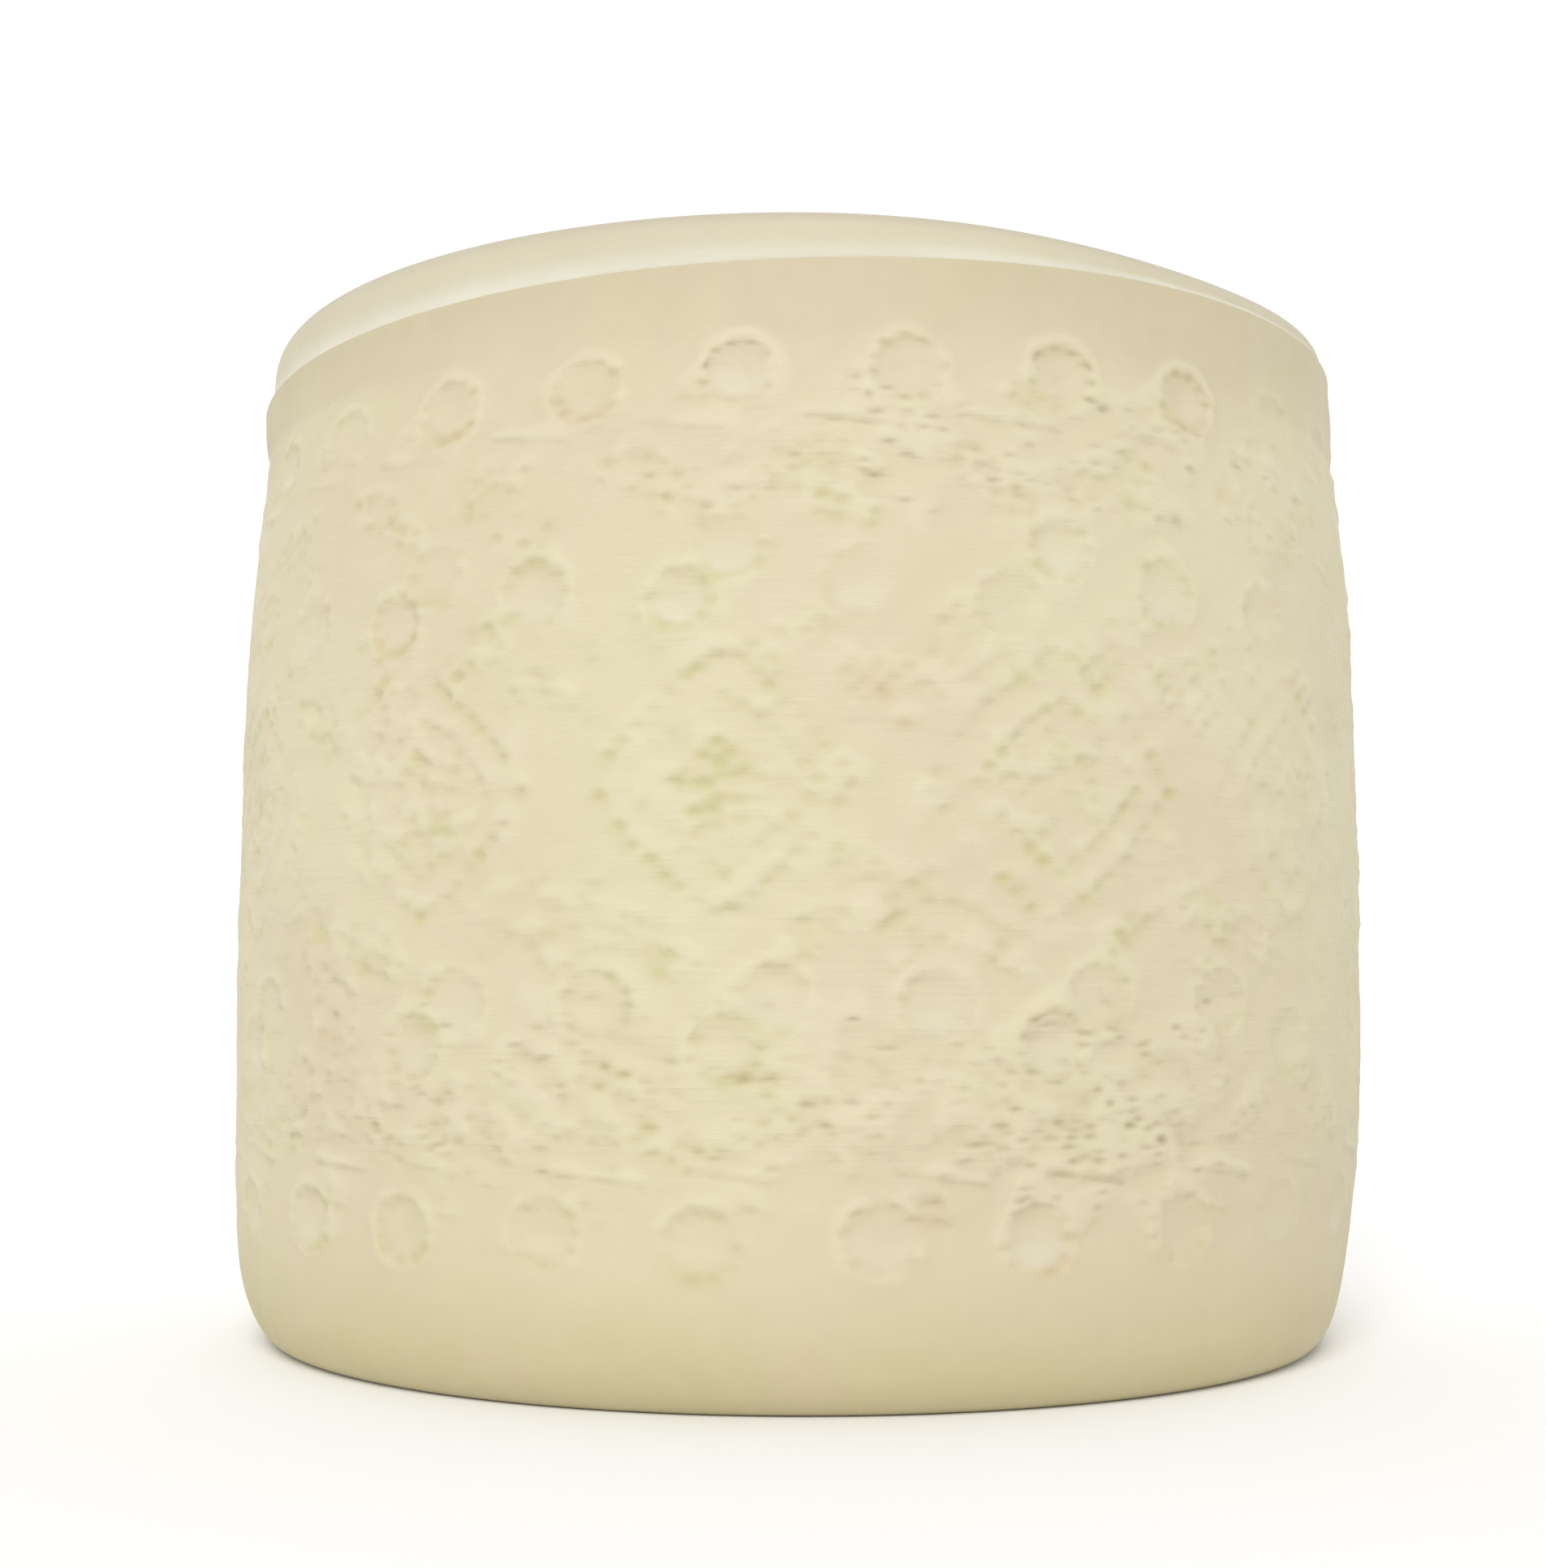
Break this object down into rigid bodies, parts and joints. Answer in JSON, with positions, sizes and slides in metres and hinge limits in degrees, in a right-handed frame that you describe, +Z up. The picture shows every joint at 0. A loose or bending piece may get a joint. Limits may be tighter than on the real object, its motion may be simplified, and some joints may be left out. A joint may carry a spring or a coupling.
{
  "type": "hard cheese wheel",
  "caption": "Whole drum-shaped wheel of hard aged cheese with a pale dot-marked rind, a bevelled top edge and a rounded foot.",
  "frame": {"origin": "middle of the bottom face, on the surface that the wheel stands on", "axes": "+Z up along the axis of the wheel, towards the bevelled top face; +X to the right and -Y towards a viewer in front"},
  "size_m": [0.31, 0.31, 0.267],
  "materials": {
    "paste": "dense pale cheese paste, matt and grainy where it is cut",
    "side_rind": "dry pale straw cheese rind, satin and faintly waxy, with pressed pin-dot marks",
    "face_rind": "dry pale cheese rind, satin, smooth from the press with soft dents and pores",
    "foot_rind": "dry cheese rind, a little yellower and duller than the side"
  },
  "bodies": {
    "root": {"cheese_paste": "paste", "side_rind": "side_rind", "top_rind": "face_rind", "bottom_rind": "foot_rind"}
  },
  "joints": []
}
